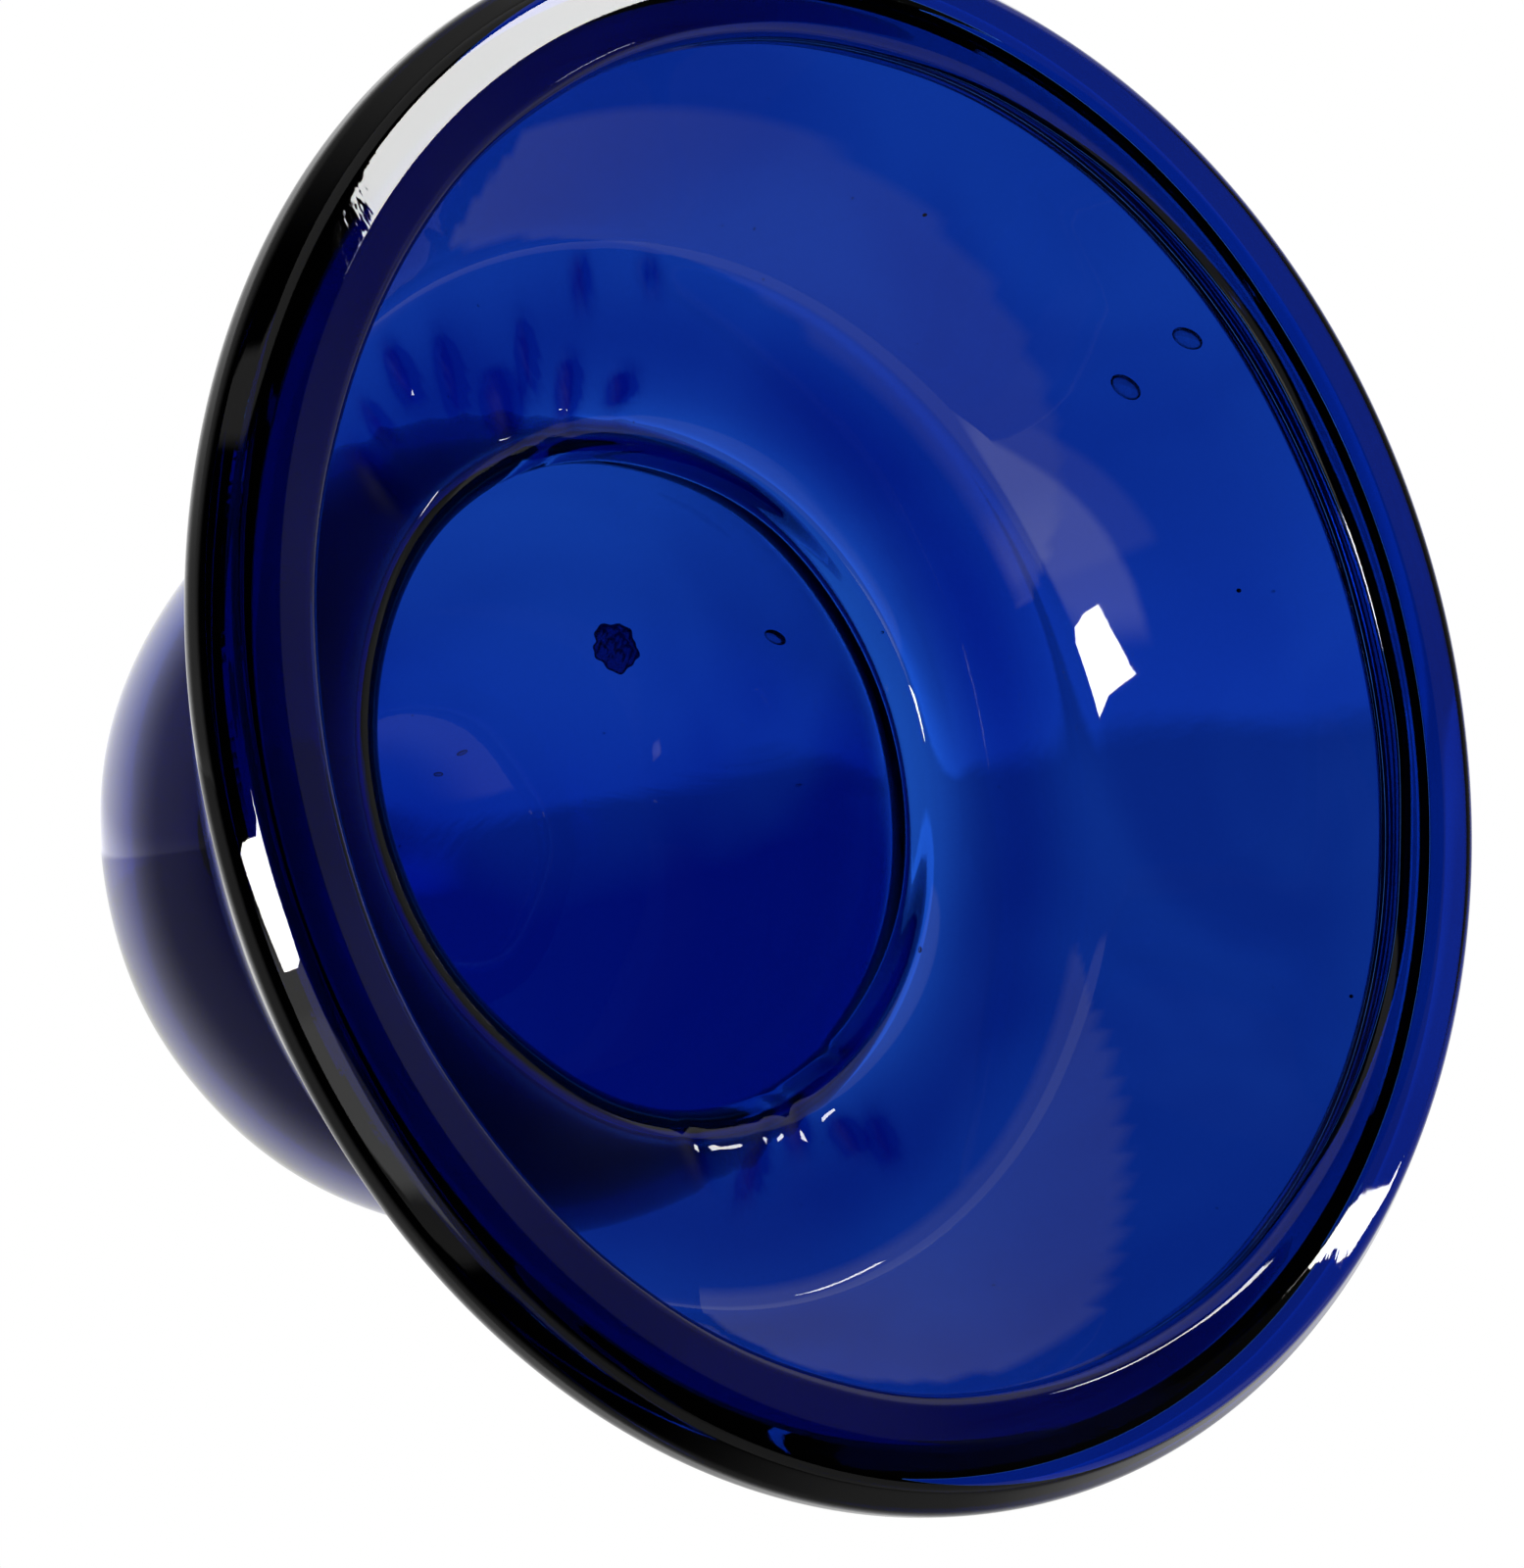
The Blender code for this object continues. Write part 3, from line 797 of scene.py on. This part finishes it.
def makeLoop(s, material):
    # a drawn rod bent over in an arch, its feet melted into a round pad; voxels fuse the two
    arch = np.radians(np.linspace(-s["foot"], 180.0 + s["foot"], 90))
    path = np.stack([s["radius"] * np.cos(arch), 0 * arch, hinge.z + s["radius"] * np.sin(arch)], -1)
    swell = 1 - 0.10 * np.sin(np.clip(arch, 0, math.pi)) + 0.03 * np.sin(5 * arch + 1.0)
    points, first, last = tube(path, s["rod"] * 0.985 * swell, np.array([0.0, 1.0, 0.0]), 40)
    rod = gridMesh("loop_rod", points, False, True, first, last)
    share = np.linspace(0.04, 1, 26)[:, None]
    turn = np.linspace(0, 2 * math.pi, 72, endpoint=False)[None]
    edge = 1 - 0.02 * np.sin(3 * turn + 1.0) - 0.02
    reach = s["pad"] * share * edge
    top = turned(reach, crownHeight + s["padHeight"] * (1 - share ** 2) ** 0.6 - 0.9 * mm * share ** 2, turn)
    under = turned(reach[::-1], crownHeight - 1.6 * mm + 0 * share, turn)
    pad = gridMesh("loop_pad", np.concatenate([top, under]), False, True,
                   np.array([0, 0, crownHeight + s["padHeight"]]), np.array([0, 0, crownHeight - 1.6 * mm]))
    joined = bmesh.new()
    joined.from_mesh(rod)
    joined.from_mesh(pad)
    both = bpy.data.meshes.new("loop_both")
    joined.to_mesh(both)
    joined.free()
    helper = bpy.data.objects.new("loop_helper", both)
    bpy.context.scene.collection.objects.link(helper)
    fuse = helper.modifiers.new("fuse", "REMESH")
    fuse.mode = "VOXEL"
    fuse.voxel_size = s["voxel"]
    soften = helper.modifiers.new("soften", "SMOOTH")
    soften.factor = 0.5
    soften.iterations = 8
    graph = bpy.context.evaluated_depsgraph_get()
    mesh = bpy.data.meshes.new_from_object(helper.evaluated_get(graph))
    bpy.data.objects.remove(helper)
    # whatever dips into the globe is laid on its skin
    co = np.empty(len(mesh.vertices) * 3, np.float32)
    mesh.vertices.foreach_get("co", co)
    co = co.reshape(-1, 3).astype(float)
    globe = np.array([0, 0, crownHeight - shellSettings["globeRadius"]])
    skin = shellSettings["globeRadius"] + s["gap"]
    away = np.linalg.norm(co - globe, axis=1)
    co = globe + (co - globe) * np.where(away < skin, skin / away, 1.0)[:, None]
    mesh.vertices.foreach_set("co", co.astype(np.float32).ravel())
    mesh.update()
    mesh.shade_smooth()
    return addPiece("glass_loop", mesh, material, "bell", "loop_glass", "crown_loop")


# the hanging ring

ringSettings = {"radius": 11.0 * mm, "wire": 0.9 * mm, "droop": 21.0, "cut": 1.3, "rows": 240, "columns": 20}


def makeRing(s, material):
    # a circle of wire through the loop, cut at its far side, its two ends butted with a hair between them
    turn = np.radians(np.linspace(s["cut"], 360.0 - s["cut"], s["rows"]))
    droop = math.radians(s["droop"])
    out = np.array([math.cos(droop), 0.0, -math.sin(droop)])
    flat = np.array([0.0, 1.0, 0.0])
    upright = np.cross(out, flat)
    centre = np.array(hinge) + out * s["radius"]
    bend = 1 - 0.004 * (1 - np.cos(2 * turn)) - 0.002 * (1 - np.cos(6 * turn))
    path = centre + s["radius"] * bend[:, None] * (np.cos(turn)[:, None] * out + np.sin(turn)[:, None] * flat)
    ends = np.clip(np.minimum(turn, 2 * math.pi - turn) / math.radians(3.0), 0, 1)
    radius = s["wire"] * 0.985 * (0.90 + 0.10 * ends)
    points, first, last = tube(path, radius, upright, s["columns"], 6)
    mesh = gridMesh("split_ring", points, False, True, first, last)
    length = np.r_[0.0, np.cumsum(np.linalg.norm(np.diff(path, axis=0), axis=1))]
    rows = np.r_[np.zeros(5), length, np.full(5, length[-1])][:, None] + np.zeros(s["columns"])
    values = np.r_[rows.ravel(), 0.0, length[-1]]
    mesh.attributes.new("alongWire", "FLOAT", "POINT").data.foreach_set("value", values.astype(np.float32))
    return addPiece("split_ring", mesh, material, "ring", "ring_brass", "hanging_ring")


brassSettings = {"clean": (0.78, 0.56, 0.25), "dull": (0.30, 0.20, 0.10), "roughness": (0.22, 0.48)}


def makeBrass(name, s):
    # drawn brass wire: cloudy tarnish, die lines as noise stretched along the wire, held to a small bump
    material = bpy.data.materials.new(name)
    material.use_nodes = True
    tree = material.node_tree
    shader = tree.nodes["Principled BSDF"]
    shader.inputs["Metallic"].default_value = 1.0
    place = node(tree, "ShaderNodeTexCoord", (-1300, 0)).outputs["Object"]
    cloud = node(tree, "ShaderNodeTexNoise", (-900, 200))
    cloud.inputs["Scale"].default_value = 240.0
    cloud.inputs["Detail"].default_value = 5.0
    tree.links.new(place, cloud.inputs["Vector"])
    tarnish = mapRange(tree, cloud.outputs["Fac"], 0.45, 0.68, 0.0, 1.0, place=(-700, 200))
    colours = node(tree, "ShaderNodeMix", (-400, 100), data_type="RGBA")
    tree.links.new(tarnish, colours.inputs["Factor"])
    colours.inputs["A"].default_value = (*s["clean"], 1)
    colours.inputs["B"].default_value = (*s["dull"], 1)
    tree.links.new(colours.outputs["Result"], shader.inputs["Base Color"])
    tree.links.new(mapRange(tree, cloud.outputs["Fac"], 0.4, 0.7, *s["roughness"], place=(-400, -150)),
                   shader.inputs["Roughness"])
    wire = node(tree, "ShaderNodeAttribute", (-1300, -350), attribute_name="alongWire")
    lines = node(tree, "ShaderNodeTexNoise", (-900, -350), noise_dimensions="4D")
    lines.inputs["Scale"].default_value = 1500.0
    slow = mathNode(tree, "MULTIPLY", wire.outputs["Fac"], 60.0, (-1100, -350))
    tree.links.new(slow, lines.inputs["W"])
    tree.links.new(place, lines.inputs["Vector"])
    bump = node(tree, "ShaderNodeBump", (-400, -400))
    bump.inputs["Distance"].default_value = 0.02 * mm
    bump.inputs["Strength"].default_value = 0.5
    tree.links.new(lines.outputs["Fac"], bump.inputs["Height"])
    tree.links.new(bump.outputs["Normal"], shader.inputs["Normal"])
    return material


# seeds and stones in the glass

# azimuth, distance along the outline, depth into the wall, length, width (mm) and lean in degrees
bigSeeds = [
    (67.9, 132.0, 0.35, 3.60, 2.30, 70.0), (66.8, 140.6, 0.35, 3.40, 2.20, 60.0),
    (74.6, 70.0, 0.4, 3.40, 1.90, 20.0), (67.3, 22.2, 0.5, 1.10, 0.50, 35.0),
    (66.4, 25.9, 0.5, 1.30, 0.50, 15.0), (97.5, 64.8, 0.5, 1.10, 0.30, 0.0),
    (77.5, 93.0, 0.5, 0.35, 0.30, 0.0), (3.7, 92.0, 0.5, 0.45, 0.30, 40.0),
    (135.0, 93.5, 0.5, 0.75, 0.35, 80.0),
]
# painted shade: near-black specks where small bubbles look dark; azimuth, distance along the outline, depth
# into the wall and width in mm
bubbleShadeSpecks = [
    (41.8, 129.3, 0.5, 0.42), (89.6, 133.6, 0.5, 0.45), (128.0, 143.0, 0.5, 0.40),
]
smallSeeds = {"count": 60, "smallest": 0.10, "largest": 0.24}


def specks(name, places, rows, columns):
    # every speck is a small ellipsoid set into the wall; all are worked out as one array
    s = shellSettings
    azimuth, place, depth, length, width, lean = (np.array(c) for c in zip(*places))
    a = np.radians(azimuth)
    along, radius, height, heading = outline(s, 800)
    r, z, h = (np.interp(place * mm, along, x) for x in (radius, height, heading))
    normal = np.stack([-np.sin(h) * np.cos(a), -np.sin(h) * np.sin(a), np.cos(h)], -1)
    down = np.stack([np.cos(h) * np.cos(a), np.cos(h) * np.sin(a), np.sin(h)], -1)
    around = np.stack([-np.sin(a), np.cos(a), 0 * a], -1)
    centre = np.stack([r * np.cos(a), r * np.sin(a), z], -1) - normal * (s["wall"] * depth)[:, None]
    c, d = np.cos(np.radians(lean))[:, None], np.sin(np.radians(lean))[:, None]
    long, wide = down * c + around * d, around * c - down * d
    polar = np.linspace(0, math.pi, rows + 2)[1:-1]
    turn = np.linspace(0, 2 * math.pi, columns, endpoint=False)
    unit = np.stack([np.cos(polar)[:, None] + 0 * turn, np.sin(polar)[:, None] * np.cos(turn),
                     np.sin(polar)[:, None] * np.sin(turn)], -1).reshape(-1, 3)
    unit = np.vstack([unit, [[1, 0, 0], [-1, 0, 0]]])
    axes = np.stack([long * (length * mm / 2)[:, None], wide * (width * mm / 2)[:, None],
                     normal * np.minimum(width * mm / 2.6, 0.5 * mm)[:, None]], 1)
    points = (centre[:, None] + unit[None] @ axes).reshape(-1, 3)
    index = np.arange(rows * columns).reshape(rows, columns)
    nextIndex = np.roll(index, -1, 1)
    quads = np.stack([index[:-1], nextIndex[:-1], nextIndex[1:], index[1:]], -1).reshape(-1, 4)
    first = np.stack([np.full(columns, rows * columns), nextIndex[0], index[0]], -1)
    last = np.stack([np.full(columns, rows * columns + 1), index[-1], nextIndex[-1]], -1)
    step = rows * columns + 2
    faces = []
    for k in range(len(places)):
        faces += (quads + k * step).tolist() + (first + k * step).tolist() + (last + k * step).tolist()
    mesh = bpy.data.meshes.new(name)
    mesh.from_pydata(points.tolist(), [], faces)
    mesh.shade_smooth()
    return mesh


def outwards(mesh):
    # turns a closed mesh right side out if its signed volume is negative
    points = np.empty(len(mesh.vertices) * 3, np.float32)
    mesh.vertices.foreach_get("co", points)
    points = points.reshape(-1, 3).astype(float)
    mesh.calc_loop_triangles()
    corners = np.empty(len(mesh.loop_triangles) * 3, np.int32)
    mesh.loop_triangles.foreach_get("vertices", corners)
    a, b, c = (points[corners[i::3]] for i in range(3))
    if (np.cross(a, b) * c).sum() < 0:
        mesh.flip_normals()
    return mesh


def makeSeeds(s, material):
    # the big seeds at their places, then small ones drawn evenly over the wall
    drawn = [
        (rng.uniform(0, 360), rng.uniform(12, 140), rng.uniform(0.3, 0.7), size * rng.uniform(1.0, 2.2), size,
         rng.uniform(-25, 25))
        for size in rng.uniform(s["smallest"], s["largest"], s["count"])
    ]
    mesh = outwards(specks("seed_bubbles", bigSeeds + drawn, 9, 16))
    return addPiece("seed_bubbles", mesh, material, "bell", "body_glass")


def makeBubbleShadeSpecks(material):
    # the dark specks are a fifth longer than wide
    places = [(azimuth, place, depth, size * 1.2, size, 30.0) for azimuth, place, depth, size in bubbleShadeSpecks]
    mesh = outwards(specks("bubble_shade_specks", places, 9, 14))
    return addPiece("bubble_shade_specks", mesh, material, "bell", "body_glass")


def makeSpeckMaterial(name, colour, roughness, clear):
    # tiny inclusions: mottled by a fine noise, clear for gas, and opaque near-black for the specks of painted
    # shade
    material = bpy.data.materials.new(name)
    material.use_nodes = True
    tree = material.node_tree
    shader = tree.nodes["Principled BSDF"]
    shader.inputs["Transmission Weight"].default_value = clear
    shader.inputs["IOR"].default_value = 1.5
    place = node(tree, "ShaderNodeTexCoord", (-900, 0)).outputs["Object"]
    mottle = node(tree, "ShaderNodeTexNoise", (-700, 0))
    mottle.inputs["Scale"].default_value = 2600.0
    tree.links.new(place, mottle.inputs["Vector"])
    colours = node(tree, "ShaderNodeMix", (-400, 0), data_type="RGBA")
    tree.links.new(mottle.outputs["Fac"], colours.inputs["Factor"])
    colours.inputs["A"].default_value = (*(0.7 * c for c in colour), 1)
    colours.inputs["B"].default_value = (*(min(1.0, 1.3 * c) for c in colour), 1)
    tree.links.new(colours.outputs["Result"], shader.inputs["Base Color"])
    tree.links.new(mapRange(tree, mottle.outputs["Fac"], 0.3, 0.7, 0.6 * roughness, 1.4 * roughness),
                   shader.inputs["Roughness"])
    return material


# build

bpy.context.scene.view_settings.view_transform = "Standard"
makeCamera(cameraSettings)
for windowName, window in windowSettings.items():
    makeWindow(windowName, window)
makeLamp(softLamp)
makeWorld(worldSettings)
makeFloor(floorSettings)
print("made camera, windows, lamp, world and floor")

blown = blownGroup()
bodyGlass = makeGlass("cobalt_body", glassSettings["body"], blown)
rimGlass = makeGlass("cobalt_rim", glassSettings["rim"], blown)
seamGlass = makeSeam(blown)
print("made the glass")
makeShell(shellSettings, bodyGlass, seamGlass)
makeRim(rimSettings, rimGlass, seamGlass)
makeScar(scarSettings, makeGlass("broken_cobalt", glassSettings["scar"], blown))
makeLoop(loopSettings, makeGlass("cobalt_rod", glassSettings["loop"], blown))
makeRing(ringSettings, makeBrass("drawn_brass", brassSettings))
makeSeeds(smallSeeds, makeSpeckMaterial("trapped_gas", (0.75, 0.8, 0.9), 0.03, 1.0))
# painted shade: near-black specks for small bubbles that look dark
makeBubbleShadeSpecks(makeSpeckMaterial("bubble_shade_black", (0.02, 0.02, 0.03), 0.5, 0.0))
